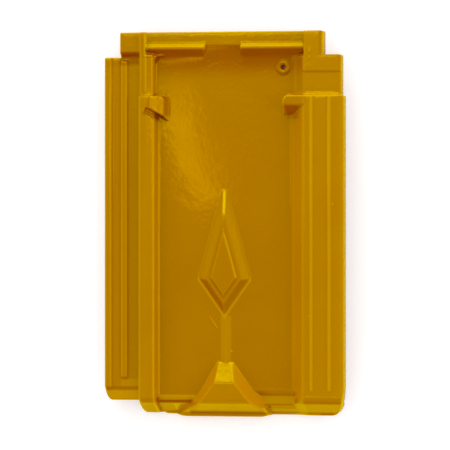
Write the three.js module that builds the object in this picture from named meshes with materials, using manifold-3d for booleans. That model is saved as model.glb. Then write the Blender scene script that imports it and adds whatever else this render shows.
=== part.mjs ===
// Clay interlocking roof tile, lying with its glazed face up, in millimetres.
// X runs across the tile to its cover rib, +Y runs up the roof to its head, and +Z is up.
// The tile rests on z = 0 with its batten nibs and its foot lip.
import * as THREE from 'three';
import { mergeVertices } from 'three/addons/utils/BufferGeometryUtils.js';
import { ConvexGeometry } from 'three/addons/geometries/ConvexGeometry.js';
import Module from 'manifold-3d';

const wasm = await Module();
wasm.setup();

// Widths across the tile, from the left edge to the right edge
const outerRibWidth = 8;
const outerGrooveWidth = 8.7;
const innerRibWidth = 7.5;
const waterGrooveWidth = 14;
const rollWidth = 17.3;
const rollShoulderWidth = 7;
const rollInnerRun = 2.5;
const panWidth = 139.2;
const slopeRun = 14;
const coverWidth = 40.8;

// Lengths along the tile
const gauge = 329.5;
const headLap = 66.5;
const stepRun = 5;

// Heights: the stand is what the nibs and the foot lip reach below the pan
const standHeight = 14;
const panThickness = 12;
const rollRise = 15;
const rollShoulderDrop = 2.5;
const coverRise = 14;
const coverThickness = 9;
const headDrop = 4.5;
const flankRibRise = 3;
const outerGrooveDepth = 2;
const waterGrooveDepth = 8;
const flankFloorThickness = 9;
const skirtDrop = 6;
const skirtShoulderWidth = 4;
const skirtShoulderDrop = 2;

// Beads along the cover rib
const beadWidth = 3.2;
const beadRise = 1.2;
const firstBeadOffset = 8.4;
const beadSpacing = 18.8;

// Clearances between the cover rib and the next tile's flank ribs
const sideGap = 2;
const ribClearance = 1;
const crownClearance = 2;

// Roundings of edges and corners
const ribRounding = 1;
const edgeRounding = 2.4;
const filletSize = 4;
const grooveDraft = 0.8;

// Hollow under the roll
const hollowWidth = 8;
const hollowDepth = 10;
const hollowDraft = 2;
const hollowOffset = 5;

// Head flange and weather rib
const flangeRise = 3;
const flangeWidth = 12.3;
const weatherRibRise = 7;
const weatherRibFaceRun = 3.2;
const weatherRibCrest = 2.4;
const weatherRibFallRun = 8.6;
const weatherNotchWidth = 37;
const weatherNotchOffset = 2.5;

// Corners cut out of the head, for the tiles beside it
const leftBlockRise = 5;
const leftBlockLength = 21;
const leftCutLength = 25.7;
const rightCutLength = 24.5;
const rightBlockWidth = 18.7;
const earLength = 17;
const earRise = 1.5;
const earInset = 2.5;
const headSkirtInset = 2.5;
const pocketRun = 12;

// Foot lip, nose and corners
const lipThickness = 15;
const footWallDrop = 15;
const noseSetback = 14;
const noseRun = 10;
const noseDrop = 19;
const shoulderRun = 6;
const shoulderDrop = 3;
const footBeadRise = 1.5;
const footBeadWidth = 3;
const footBeadGap = 1.2;
const sideFootSetback = 2;
const rollFootSetback = 3.6;
const rightCornerWidth = 15;
const rightCornerLength = 31;
const rollCornerWidth = 5;
const rollCornerLength = 11;
const flankCornerWidth = 8;
const flankCornerLength = 15;

// Foot end of the water flank
const flankFootSetback = 16.5;
const flankBevelRun = 10;
const flankBevelDrop = 12;
const flankFlatLength = 12;
const flankFlatDrop = 3;
const grooveRampLength = 67;

// Stops that the next tile's foot meets
const stopWidth = 13.5;
const stopLength = 18;
const stopHeight = 17;
const stopPlateau = 6;
const stopRounding = 5;
const rightStopWidth = 8;
const rightStopLength = 19;
const rightStopPlateau = 8.5;
const stopDraft = 1;

// Nail place
const nailFromRight = 9.2;
const nailFromHead = 37;
const nailHoleRadius = 2.3;
const nailCrownRadius = 8;
const nailCrownTopRadius = 6;
const nailCrownRise = 3;

// Raised lozenge, in two tiers
const lozengeOffset = -1.1;
const lozengeHalfWidth = 27.7;
const lozengeHeadLength = 91.5;
const lozengeFootLength = 39;
const lozengeFromFoot = 142.8;
const lozengeRise = 6;
const lozengeTableRise = 8;
const headBevel = 10;
const footBevel = 5.4;
const headShelf = 2.6;
const footShelf = 1.2;
const tableBevel = 2;

// Stem between the lozenge and the foot ornament
const stemOffset = 0.4;
const stemWidth = 11.5;
const stemTopWidth = 4;
const stemRise = 3;

// Foot ornament
const ornamentOffset = 1.7;
const ornamentRise = 13;
const ornamentLength = 56.5;
const ornamentHeadHalfWidth = 7;
const ornamentFootHalfWidth = 42.5;
const ornamentFaceLength = 21.4;
const ornamentFaceSetback = 15;
const ornamentFaceHeadHalfWidth = 9.8;
const ornamentFaceFootHalfWidth = 26.4;

// Batten nibs under the head
const nibWidth = 36;
const nibTipWidth = 30;
const nibThickness = 16;
const nibTipThickness = 12;
const nibFromHead = 16;
const nibSpacing = 90;

// Helper values
const overlap = 0.5;
const beyond = 40;
const circleSegments = 20;
const cornerSegments = 5;
const quarterTurn = Math.PI / 2;

// Stations across the tile
const tileWidth = outerRibWidth + outerGrooveWidth + innerRibWidth + waterGrooveWidth
  + rollWidth + rollInnerRun + panWidth + slopeRun + coverWidth;
const leftEdge = -tileWidth / 2;
const outerRibInner = leftEdge + outerRibWidth;
const innerRibOuter = outerRibInner + outerGrooveWidth;
const innerRibInner = innerRibOuter + innerRibWidth;
const rollOuter = innerRibInner + waterGrooveWidth;
const rollInner = rollOuter + rollWidth;
const panLeft = rollInner + rollInnerRun;
const panRight = panLeft + panWidth;
const panMiddle = (panLeft + panRight) / 2;
const coverInner = panRight + slopeRun;
const rightEdge = coverInner + coverWidth;
const rightBlockEdge = coverInner + rightBlockWidth;

// Stations along the tile
const tileLength = gauge + headLap;
const footEdge = -tileLength / 2;
const headEdge = footEdge + tileLength;
const stepFoot = footEdge + gauge;
const stepHead = stepFoot + stepRun;
const earFoot = headEdge - rightCutLength - earLength;
const weatherRibHead = headEdge - flangeWidth;
const weatherRibFoot = weatherRibHead - weatherRibFaceRun - weatherRibCrest - weatherRibFallRun;
const noseHead = footEdge + noseSetback;
const shoulderHead = noseHead + shoulderRun;
const flankFoot = footEdge + flankFootSetback;

// Levels
const panUnder = standHeight;
const panTop = panUnder + panThickness;
const rollTop = panTop + rollRise;
const coverTop = panTop + coverRise;
const coverUnder = coverTop - coverThickness;
const flankTop = panTop + flankRibRise;
const outerGrooveFloor = panTop - outerGrooveDepth;
const waterGrooveFloor = panTop - waterGrooveDepth;
const flankUnder = waterGrooveFloor - flankFloorThickness;
const skirtBottom = panTop - skirtDrop;
const flangeTop = panTop + flangeRise;
const weatherRibTop = panTop + weatherRibRise;
const headCoverTop = coverTop - headDrop;
const earTop = headCoverTop + earRise;
const footWallBottom = Math.max(panTop - footWallDrop, 0);

// Turns a closed three.js geometry into a solid
function solidOf(geometry) {
  geometry.deleteAttribute('normal');
  geometry.deleteAttribute('uv');
  const merged = mergeVertices(geometry, 1e-4);
  return new wasm.Manifold(new wasm.Mesh({
    numProp: 3,
    vertProperties: new Float32Array(merged.attributes.position.array),
    triVerts: new Uint32Array(merged.index.array),
  }));
}

// Turns a solid back into a three.js geometry with flat faces
function geometryOf(solid) {
  const { vertProperties, triVerts } = solid.getMesh();
  const geometry = new THREE.BufferGeometry();
  geometry.setAttribute('position', new THREE.BufferAttribute(new Float32Array(vertProperties), 3));
  geometry.setIndex(new THREE.BufferAttribute(new Uint32Array(triVerts), 1));
  geometry.computeVertexNormals();
  return geometry;
}

// Joins a list of solids
function joined(solids) {
  return solids.reduce((whole, solid) => whole.add(solid));
}

// The convex body around a list of corners
function hull(corners) {
  return solidOf(new ConvexGeometry(corners.map((corner) => new THREE.Vector3(...corner))));
}

// A box between two opposite corners
function box([left, foot, low], [right, head, high]) {
  const geometry = new THREE.BoxGeometry(right - left, head - foot, high - low);
  geometry.translate((left + right) / 2, (foot + head) / 2, (low + high) / 2);
  return solidOf(geometry);
}

// An extruded outline, along its own third axis
function extruded(outline, depth) {
  const shape = new THREE.Shape(outline.map(([across, up]) => new THREE.Vector2(across, up)));
  return new THREE.ExtrudeGeometry(shape, { depth, steps: 1, bevelEnabled: false });
}

// A prism with its outline in plan
function uprightPrism(outline, low, high) {
  return solidOf(extruded(outline, high - low).translate(0, 0, low));
}

// A prism along the tile, with its outline across it
function lengthPrism(outline, foot, head) {
  return solidOf(extruded(outline, head - foot).rotateX(quarterTurn).translate(0, head, 0));
}

// A prism across the tile, with its outline along it
function crossPrism(outline, left, right) {
  const turn = new THREE.Matrix4().makeBasis(
    new THREE.Vector3(0, 1, 0),
    new THREE.Vector3(0, 0, 1),
    new THREE.Vector3(1, 0, 0),
  );
  return solidOf(extruded(outline, right - left).applyMatrix4(turn).translate(left, 0, 0));
}

// Rounds the corners of an outline that give a size as their third value
function eased(outline) {
  const count = outline.length;
  return outline.flatMap(([across, up, size = 0], index) => {
    if (size === 0) return [[across, up]];
    const corner = new THREE.Vector2(across, up);
    const before = new THREE.Vector2(...outline[(index + count - 1) % count].slice(0, 2));
    const after = new THREE.Vector2(...outline[(index + 1) % count].slice(0, 2));
    const start = towards(corner, before, size);
    const end = towards(corner, after, size);
    const middle = start.clone().add(end).add(corner).add(corner).multiplyScalar(0.25);
    return [start, middle, end].map((point) => [point.x, point.y]);
  });
}

// The point at a distance from a corner, at most just short of halfway to its neighbour
function towards(corner, neighbour, distance) {
  const share = Math.min(distance / corner.distanceTo(neighbour), 0.45);
  return corner.clone().lerp(neighbour, share);
}

// Points on a quarter of an ellipse, from a start angle
function quarterEllipse(middleX, middleY, radiusX, radiusY, startAngle) {
  return Array.from({ length: cornerSegments + 1 }, (_, index) => {
    const angle = startAngle + (quarterTurn * index) / cornerSegments;
    return [middleX + radiusX * Math.cos(angle), middleY + radiusY * Math.sin(angle)];
  });
}

// One bead of the cover rib, as points from left to right
function beadPoints(middle, level, rise) {
  return [
    [middle - beadWidth / 2, level],
    [middle, level + rise, ribRounding],
    [middle + beadWidth / 2, level],
  ];
}

// Upper side of the cross section, from left to right
function upperSide(roll, cover, rise) {
  const firstBead = coverInner + firstBeadOffset;
  const beads = rise === 0 ? [] : [
    ...beadPoints(firstBead, cover, rise),
    ...beadPoints(firstBead + beadSpacing, cover, rise),
  ];
  return [
    [leftEdge, flankUnder, ribRounding],
    [leftEdge, flankTop, ribRounding],
    [outerRibInner - grooveDraft, flankTop, ribRounding],
    [outerRibInner + grooveDraft, outerGrooveFloor, ribRounding],
    [innerRibOuter - grooveDraft, outerGrooveFloor, ribRounding],
    [innerRibOuter + grooveDraft, flankTop, ribRounding],
    [innerRibInner, flankTop, ribRounding],
    [innerRibInner + grooveDraft, waterGrooveFloor, ribRounding],
    [rollOuter - grooveDraft, waterGrooveFloor, ribRounding],
    [rollOuter, roll - rollShoulderDrop, edgeRounding],
    [rollOuter + rollShoulderWidth, roll],
    [rollInner, roll, edgeRounding],
    [panLeft, panTop, filletSize],
    [panRight, panTop, filletSize],
    [coverInner, cover, edgeRounding],
    ...beads,
    [rightEdge - skirtShoulderWidth, cover],
    [rightEdge, cover - skirtShoulderDrop, edgeRounding],
    [rightEdge, skirtBottom, ribRounding],
  ];
}

// Under side of the cross section, from right to left, open for the next tile's flank ribs
function underSide() {
  const pitch = rightEdge + sideGap - rollOuter;
  const skirtInner = innerRibInner + pitch + ribClearance;
  const tongueRight = innerRibOuter + pitch - ribClearance;
  const tongueLeft = outerRibInner + pitch + ribClearance;
  const tongueBottom = outerGrooveFloor + crownClearance;
  const slopeLength = Math.hypot(slopeRun, coverRise);
  const slopeShift = (panThickness * slopeLength) / coverRise;
  const under = (level) => panRight + ((level - panTop) * slopeRun) / coverRise + slopeShift;
  const hollowLeft = rollOuter + hollowOffset;
  return [
    [skirtInner + grooveDraft, skirtBottom, ribRounding],
    [skirtInner, coverUnder, ribRounding],
    [tongueRight + grooveDraft, coverUnder, ribRounding],
    [tongueRight - grooveDraft, tongueBottom, ribRounding],
    [tongueLeft + grooveDraft, tongueBottom, ribRounding],
    [tongueLeft - grooveDraft, coverUnder, ribRounding],
    [Math.min(under(coverUnder), tongueLeft - outerRibWidth), coverUnder, ribRounding],
    [under(panUnder), panUnder, filletSize],
    [hollowLeft + hollowWidth, panUnder, ribRounding],
    [hollowLeft + hollowWidth - hollowDraft, panUnder + hollowDepth, ribRounding],
    [hollowLeft + hollowDraft, panUnder + hollowDepth, ribRounding],
    [hollowLeft, flankUnder, ribRounding],
  ];
}

// The body of one cross section between two stations along the tile
function sectionBody(roll, cover, rise, foot, head) {
  const outline = [...upperSide(roll, cover, rise), ...underSide()].reverse();
  return lengthPrism(eased(outline), foot, head);
}

// Wedge that takes a high level down to a lower one towards the head
function stepCutter(left, right, high, drop) {
  const outline = [
    [stepFoot, high],
    [stepHead, high - drop],
    [stepHead + overlap, high - drop],
    [stepHead + overlap, high + beyond],
    [stepFoot, high + beyond],
  ];
  return crossPrism(outline, left, right);
}

// Head lap: the same ribs at a lower level, with the flange, the blocks and the ear
function headPart() {
  const body = sectionBody(rollTop - headDrop, headCoverTop, 0, stepFoot - overlap, headEdge);
  const flangeOutline = eased([
    [headEdge, panUnder, ribRounding],
    [headEdge, flangeTop, edgeRounding],
    [weatherRibHead, flangeTop, ribRounding],
    [weatherRibHead - weatherRibFaceRun, weatherRibTop, ribRounding],
    [weatherRibHead - weatherRibFaceRun - weatherRibCrest, weatherRibTop, ribRounding],
    [weatherRibFoot, panTop, filletSize],
    [weatherRibFoot - filletSize, panTop],
    [weatherRibFoot - filletSize, panUnder],
  ]);
  const flange = crossPrism(flangeOutline, rollInner - overlap, coverInner + overlap);
  const notchMiddle = panMiddle - weatherNotchOffset;
  const notch = box(
    [notchMiddle - weatherNotchWidth / 2, weatherRibFoot, flangeTop],
    [notchMiddle + weatherNotchWidth / 2, weatherRibHead + overlap, flangeTop + beyond],
  );
  const blockTop = panTop + leftBlockRise;
  const blockFoot = headEdge - leftBlockLength;
  const blockOutline = eased([
    [headEdge, flankUnder, ribRounding],
    [headEdge, blockTop, edgeRounding],
    [blockFoot, blockTop, ribRounding],
    [blockFoot - pocketRun, waterGrooveFloor, ribRounding],
    [blockFoot - pocketRun - ribRounding, waterGrooveFloor - overlap],
    [blockFoot - pocketRun - ribRounding, flankUnder],
  ]);
  const leftBlock = crossPrism(blockOutline, innerRibOuter, rollOuter + overlap);
  const rightBlock = box(
    [panRight + slopeRun / 2, headEdge - rightCutLength - overlap, panUnder],
    [rightBlockEdge, headEdge, earTop],
  );
  const slopeFill = hull([
    [panRight, weatherRibFoot, panUnder],
    [panRight, headEdge, panUnder],
    [panRight, weatherRibFoot, panTop],
    [panRight, headEdge, panTop],
    [coverInner, weatherRibFoot, earTop],
    [coverInner, headEdge, earTop],
    [coverInner, weatherRibFoot, panUnder],
    [coverInner, headEdge, panUnder],
  ]);
  const ear = box(
    [coverInner, earFoot, coverUnder],
    [rightEdge - skirtThicknessAtHead(), headEdge - rightCutLength + overlap, earTop],
  );
  return joined([body, flange.subtract(notch), leftBlock, rightBlock, slopeFill, ear]);
}

// The ear stays inside the rounded shoulder of the cover rib
function skirtThicknessAtHead() {
  return earInset + edgeRounding;
}

// Foot lip under the pan and foot walls under the roll and the cover rib
function footWalls() {
  const lipHead = footEdge + lipThickness;
  const lip = box([panLeft - rollInnerRun, footEdge, 0], [panRight + slopeRun, lipHead, panTop]);
  const coverWall = box([panRight, footEdge, footWallBottom], [rightEdge, lipHead, coverTop]);
  const rollWall = box([rollOuter, footEdge, footWallBottom], [panLeft, lipHead, rollTop - rollShoulderDrop]);
  const slopeTop = hull([
    [panRight, footEdge, panTop],
    [panRight, lipHead, panTop],
    [coverInner, footEdge, coverTop],
    [coverInner, lipHead, coverTop],
    [panRight, footEdge, footWallBottom],
    [panRight, lipHead, footWallBottom],
    [coverInner, footEdge, footWallBottom],
    [coverInner, lipHead, footWallBottom],
  ]);
  const coverPart = box([coverInner, footEdge, footWallBottom], [rightEdge, lipHead, coverTop]);
  const slopeLimit = box(
    [panRight, footEdge - overlap, footWallBottom - overlap],
    [rightEdge + overlap, lipHead + overlap, coverTop + beyond],
  );
  const right = coverWall.intersect(joined([slopeTop, coverPart]).intersect(slopeLimit));
  return joined([lip, right, rollWall]);
}

// Half bead across the pan, just before the nose
function footBead() {
  const head = shoulderHead + footBeadWidth / 2;
  const outline = eased([
    [head - footBeadWidth, panTop - overlap],
    [head - footBeadWidth, panTop + footBeadRise / 2],
    [head - footBeadWidth / 2, panTop + footBeadRise, ribRounding],
    [head + footBeadGap, panTop - overlap],
  ]);
  return crossPrism([...outline].reverse(), rollInner, panRight + slopeRun / 4);
}

// Cutter above the shoulder and the steep nose, between two stations with their own levels
function noseCutter(left, leftTop, right, rightTop) {
  const shoulderPoints = (top) => [
    [shoulderHead, top],
    [noseHead, top - shoulderDrop],
    [noseHead - beyond, top - shoulderDrop],
    [noseHead - beyond, top + beyond],
    [shoulderHead, top + beyond],
  ];
  const nosePoints = (top) => [
    [noseHead, top - shoulderDrop],
    [noseHead - noseRun, top - shoulderDrop - noseDrop],
    [footEdge - beyond, top - shoulderDrop - noseDrop],
    [footEdge - beyond, top + beyond],
    [noseHead, top + beyond],
  ];
  const between = (points) => hull([
    ...points(leftTop).map(([along, up]) => [left, along, up]),
    ...points(rightTop).map(([along, up]) => [right, along, up]),
  ]);
  return between(shoulderPoints).add(between(nosePoints));
}

// Foot end of the flank: the inner rib stops, the groove runs out, and a bevel ends it
function flankFootCutter() {
  const flatHead = flankFoot + flankBevelRun + flankFlatLength;
  const flatLevel = panTop - flankFlatDrop;
  const bevelHead = flankFoot + flankBevelRun;
  const flat = box(
    [innerRibOuter, flankFoot - overlap, flatLevel],
    [rollOuter - grooveDraft, flatHead, flatLevel + beyond],
  );
  const bevelOutline = [
    [bevelHead, panTop],
    [flankFoot, panTop - flankBevelDrop],
    [flankFoot - beyond, panTop - flankBevelDrop],
    [flankFoot - beyond, panTop + beyond],
    [bevelHead, panTop + beyond],
  ];
  const bevel = crossPrism([...bevelOutline].reverse(), leftEdge - overlap, rollOuter);
  const end = box(
    [leftEdge - overlap, footEdge - overlap, -overlap],
    [rollOuter, flankFoot, rollTop + beyond],
  );
  return joined([flat, bevel, end]);
}

// Floor that rises in the water groove towards the foot
function grooveRamp() {
  const flatHead = flankFoot + flankBevelRun + flankFlatLength;
  const flatLevel = panTop - flankFlatDrop;
  const outline = [
    [flankFoot, flankUnder + overlap],
    [flatHead + grooveRampLength, flankUnder + overlap],
    [flatHead + grooveRampLength, waterGrooveFloor],
    [flatHead, flatLevel],
    [flankFoot, flatLevel],
  ];
  return crossPrism(outline, innerRibInner - overlap, rollOuter + overlap);
}

// Plan outline of the whole tile, starting at the flank's foot corner
function planOutline() {
  const sideFoot = footEdge + sideFootSetback;
  const rollFoot = footEdge + rollFootSetback;
  const ornamentMiddle = panMiddle + ornamentOffset;
  const earRight = rightEdge - earInset;
  const headRight = rightEdge - headSkirtInset;
  return [
    ...quarterEllipse(
      leftEdge + flankCornerWidth,
      flankFoot + flankCornerLength,
      flankCornerWidth,
      flankCornerLength,
      2 * quarterTurn,
    ),
    [rollOuter, flankFoot],
    ...quarterEllipse(
      rollOuter + rollCornerWidth,
      rollFoot + rollCornerLength,
      rollCornerWidth,
      rollCornerLength,
      2 * quarterTurn,
    ),
    [panLeft, rollFoot],
    [ornamentMiddle - ornamentFootHalfWidth, sideFoot],
    [ornamentMiddle - ornamentFaceFootHalfWidth - ornamentFaceHeadHalfWidth, footEdge],
    [ornamentMiddle + ornamentFaceFootHalfWidth + ornamentFaceHeadHalfWidth, footEdge],
    [ornamentMiddle + ornamentFootHalfWidth, sideFoot],
    ...quarterEllipse(
      rightEdge - rightCornerWidth,
      sideFoot + rightCornerLength,
      rightCornerWidth,
      rightCornerLength,
      3 * quarterTurn,
    ),
    [rightEdge, stepFoot],
    [headRight, stepFoot],
    [headRight, earFoot],
    [earRight, earFoot],
    [earRight, headEdge - rightCutLength],
    [rightBlockEdge, headEdge - rightCutLength],
    [rightBlockEdge, headEdge],
    [innerRibOuter, headEdge],
    [innerRibOuter, headEdge - leftCutLength],
    [leftEdge, headEdge - leftCutLength],
  ];
}

// Lozenge outline, drawn in from its edges towards the head and towards the foot
function lozengeOutline(headInset, footInset) {
  const middle = panMiddle + lozengeOffset;
  const foot = footEdge + lozengeFromFoot - lozengeFootLength;
  const waist = footEdge + lozengeFromFoot;
  const head = waist + lozengeHeadLength;
  const headEdgeLength = Math.hypot(lozengeHalfWidth, lozengeHeadLength);
  const footEdgeLength = Math.hypot(lozengeHalfWidth, lozengeFootLength);
  const headTip = head - (headInset * headEdgeLength) / lozengeHalfWidth;
  const footTip = foot + (footInset * footEdgeLength) / lozengeHalfWidth;
  const headSlope = lozengeHeadLength / lozengeHalfWidth;
  const footSlope = lozengeFootLength / lozengeHalfWidth;
  const halfWidth = (headTip - footTip) / (headSlope + footSlope);
  const waistLevel = headTip - halfWidth * headSlope;
  return [
    [middle, headTip],
    [middle - halfWidth, waistLevel],
    [middle, footTip],
    [middle + halfWidth, waistLevel],
  ];
}

// One tier of the lozenge, from a lower outline to an upper one
function lozengeTier(lowerOutline, low, upperOutline, high) {
  return hull([
    ...lowerOutline.map(([across, along]) => [across, along, low]),
    ...upperOutline.map(([across, along]) => [across, along, high]),
  ]);
}

// The two tiers of the lozenge
function lozenge() {
  const shelfHead = headBevel + headShelf;
  const shelfFoot = footBevel + footShelf;
  const base = lozengeOutline(0, 0);
  const firstTier = lozengeTier(base, panTop, lozengeOutline(headBevel, footBevel), panTop + lozengeRise);
  const root = lozengeTier(base, panTop - overlap, base, panTop);
  const secondTier = lozengeTier(
    lozengeOutline(shelfHead, shelfFoot),
    panTop + lozengeRise - overlap,
    lozengeOutline(shelfHead + tableBevel, shelfFoot + tableBevel),
    panTop + lozengeTableRise,
  );
  return joined([root, firstTier, secondTier]);
}

// Low bar from the lozenge to the foot ornament
function stem() {
  const middle = panMiddle + stemOffset;
  const foot = footEdge + ornamentLength - stemWidth;
  const head = footEdge + lozengeFromFoot - lozengeFootLength + stemWidth;
  const outline = eased([
    [middle - stemWidth / 2, panTop - overlap],
    [middle + stemWidth / 2, panTop - overlap],
    [middle + stemTopWidth, panTop + stemRise, ribRounding],
    [middle - stemTopWidth, panTop + stemRise, ribRounding],
  ]);
  return lengthPrism(outline, foot, head);
}

// Foot ornament: a ramp that faces the head, a front face and two wings, down to the lip
function footOrnament() {
  const middle = panMiddle + ornamentOffset;
  const headLine = footEdge + ornamentLength;
  const faceFoot = footEdge + ornamentFaceSetback;
  const faceHead = faceFoot + ornamentFaceLength;
  const wingFoot = footEdge + shoulderRun;
  const top = panTop + ornamentRise;
  const noseFoot = footEdge + noseSetback - noseRun;
  const mirrored = (across, along, up) => [
    [middle - across, along, up],
    [middle + across, along, up],
  ];
  const body = hull([
    ...mirrored(ornamentHeadHalfWidth, headLine, panTop),
    ...mirrored(ornamentFootHalfWidth, wingFoot, panTop),
    ...mirrored(ornamentFaceHeadHalfWidth, faceHead, top),
    ...mirrored(ornamentFaceFootHalfWidth, faceFoot, top),
  ]);
  const root = hull([
    ...mirrored(ornamentHeadHalfWidth, headLine, panTop),
    ...mirrored(ornamentHeadHalfWidth, headLine, panTop - overlap),
    ...mirrored(ornamentFootHalfWidth, wingFoot, panTop),
    ...mirrored(ornamentFootHalfWidth, wingFoot, panTop - overlap),
  ]);
  const nose = hull([
    ...mirrored(ornamentFaceFootHalfWidth, faceFoot, top),
    ...mirrored(ornamentFootHalfWidth, faceFoot, panUnder),
    ...mirrored(ornamentFaceFootHalfWidth, noseFoot, top - noseDrop),
    ...mirrored(ornamentFootHalfWidth, noseFoot, panTop - noseDrop),
    ...mirrored(ornamentFootHalfWidth, footEdge, 0),
    ...mirrored(ornamentFootHalfWidth, faceFoot, 0),
    ...mirrored(ornamentFaceFootHalfWidth, footEdge, panTop - noseDrop),
  ]);
  return joined([body, root, nose]);
}

// Stops beside the step, against which the next tile's foot ends
function stops() {
  const leftInner = panLeft + stopWidth / 2;
  const leftOuter = leftInner - stopWidth;
  const leftTop = panTop + stopHeight;
  const leftFoot = stepFoot - stopLength;
  const left = hull([
    [leftOuter, stepFoot, panTop],
    [leftOuter, stepFoot, leftTop],
    [leftOuter, stepFoot - stopPlateau, leftTop],
    [leftInner - stopRounding, stepFoot, leftTop],
    [leftInner, stepFoot - stopRounding, leftTop],
    [leftInner, leftFoot, leftTop],
    [leftInner + stopDraft, leftFoot - stopDraft, panTop - overlap],
    [leftInner - stopRounding, leftFoot - stopDraft, panTop - overlap],
    [leftOuter, stepFoot - stopPlateau - stopRounding, panTop],
    [leftInner + stopDraft, stepFoot - stopRounding, panTop - overlap],
    [leftInner - stopRounding, stepFoot + stopDraft, panTop - overlap],
    [leftOuter, stepFoot + stopDraft, panTop - overlap],
  ]);
  const rightLeft = panRight - rightStopWidth;
  const right = hull([
    [coverInner, stepFoot, coverTop],
    [coverInner, stepFoot - rightStopPlateau, coverTop],
    [rightLeft + stopRounding, stepFoot, coverTop],
    [rightLeft, stepFoot - stopRounding, coverTop],
    [rightLeft, stepFoot - rightStopPlateau, coverTop],
    [rightLeft - stopDraft, stepFoot - rightStopLength, panTop - overlap],
    [rightLeft - stopDraft, stepFoot - stopRounding, panTop - overlap],
    [rightLeft + stopRounding, stepFoot + stopDraft, panTop - overlap],
    [coverInner, stepFoot + stopDraft, panTop - overlap],
    [panRight, stepFoot - rightStopLength, panTop - overlap],
    [coverInner, stepFoot - rightStopLength, coverTop],
  ]);
  return left.add(right);
}

// A disc, cone or cylinder that stands on a level
function disc(middleX, middleY, low, high, lowRadius, highRadius) {
  const geometry = new THREE.CylinderGeometry(highRadius, lowRadius, high - low, circleSegments);
  geometry.rotateX(quarterTurn);
  geometry.translate(middleX, middleY, (low + high) / 2);
  return solidOf(geometry);
}

const nailX = panRight - nailFromRight;
const nailY = headEdge - nailFromHead;

// Raised ring around the nail hole
function nailCrown() {
  const top = panTop + nailCrownRise;
  return disc(nailX, nailY, panTop - overlap, top, nailCrownRadius, nailCrownTopRadius);
}

// The hole for the nail
function nailHole() {
  const radius = nailHoleRadius;
  return disc(nailX, nailY, panUnder - overlap, panTop + beyond, radius, radius);
}

// Nibs that hang on the batten, with their upright face towards the foot
function nibs() {
  const head = headEdge - nibFromHead;
  const foot = head - nibThickness;
  return joined([-1, 1].map((side) => {
    const middle = panMiddle + (side * nibSpacing) / 2;
    return hull([
      [middle - nibWidth / 2, foot, panUnder + overlap],
      [middle + nibWidth / 2, foot, panUnder + overlap],
      [middle - nibWidth / 2, head, panUnder + overlap],
      [middle + nibWidth / 2, head, panUnder + overlap],
      [middle - nibTipWidth / 2, foot, 0],
      [middle + nibTipWidth / 2, foot, 0],
      [middle - nibTipWidth / 2, foot + nibTipThickness, 0],
      [middle + nibTipWidth / 2, foot + nibTipThickness, 0],
    ]);
  }));
}

// The whole tile as one solid
function tileSolid() {
  const main = sectionBody(rollTop, coverTop, beadRise, footEdge, stepHead)
    .subtract(stepCutter(rollOuter - overlap, rollInner + rollInnerRun, rollTop, headDrop))
    .subtract(stepCutter(panRight, rightEdge + overlap, coverTop, headDrop));
  const noses = [
    noseCutter(rollOuter - overlap, rollTop, panLeft, rollTop),
    noseCutter(panLeft, panTop, panRight, panTop),
    noseCutter(panRight, panTop, coverInner, coverTop),
    noseCutter(coverInner, coverTop, rightEdge + overlap, coverTop),
  ];
  const body = joined([main, footWalls(), footBead()]).subtract(joined(noses));
  const flank = body.add(grooveRamp()).subtract(flankFootCutter());
  const whole = joined([flank, headPart(), stops(), lozenge(), stem(), footOrnament(), nailCrown(), nibs()]);
  const plan = uprightPrism(planOutline(), -overlap, panTop + beyond);
  return whole.intersect(plan).subtract(nailHole());
}

const glaze = new THREE.MeshStandardMaterial({
  name: 'amber glaze',
  color: new THREE.Color('#b37800'),
  roughness: 0.2,
  metalness: 0,
});

const roofTile = new THREE.Mesh(geometryOf(tileSolid()), glaze);
roofTile.name = 'roof_tile';

const tile = new THREE.Group();
tile.add(roofTile);

export default tile;
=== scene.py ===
import math
import bpy
import numpy as np
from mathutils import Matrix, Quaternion, Vector


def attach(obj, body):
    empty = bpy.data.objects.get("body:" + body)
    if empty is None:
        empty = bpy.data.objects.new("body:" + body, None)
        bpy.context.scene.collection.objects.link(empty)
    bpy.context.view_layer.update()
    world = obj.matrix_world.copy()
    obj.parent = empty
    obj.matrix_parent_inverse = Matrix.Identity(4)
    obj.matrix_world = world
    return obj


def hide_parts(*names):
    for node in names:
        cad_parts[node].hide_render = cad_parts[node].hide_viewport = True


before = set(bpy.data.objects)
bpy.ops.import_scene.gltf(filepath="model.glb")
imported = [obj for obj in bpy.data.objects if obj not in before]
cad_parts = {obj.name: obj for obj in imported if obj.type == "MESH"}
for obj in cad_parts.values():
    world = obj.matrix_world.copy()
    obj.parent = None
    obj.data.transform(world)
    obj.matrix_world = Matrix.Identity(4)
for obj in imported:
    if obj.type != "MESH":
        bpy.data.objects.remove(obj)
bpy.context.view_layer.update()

print("frame loaded:", ", ".join(sorted(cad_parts)))


def placed(name, data):
    piece = bpy.data.objects.new(name, data)
    bpy.context.scene.collection.objects.link(piece)
    return piece


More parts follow.
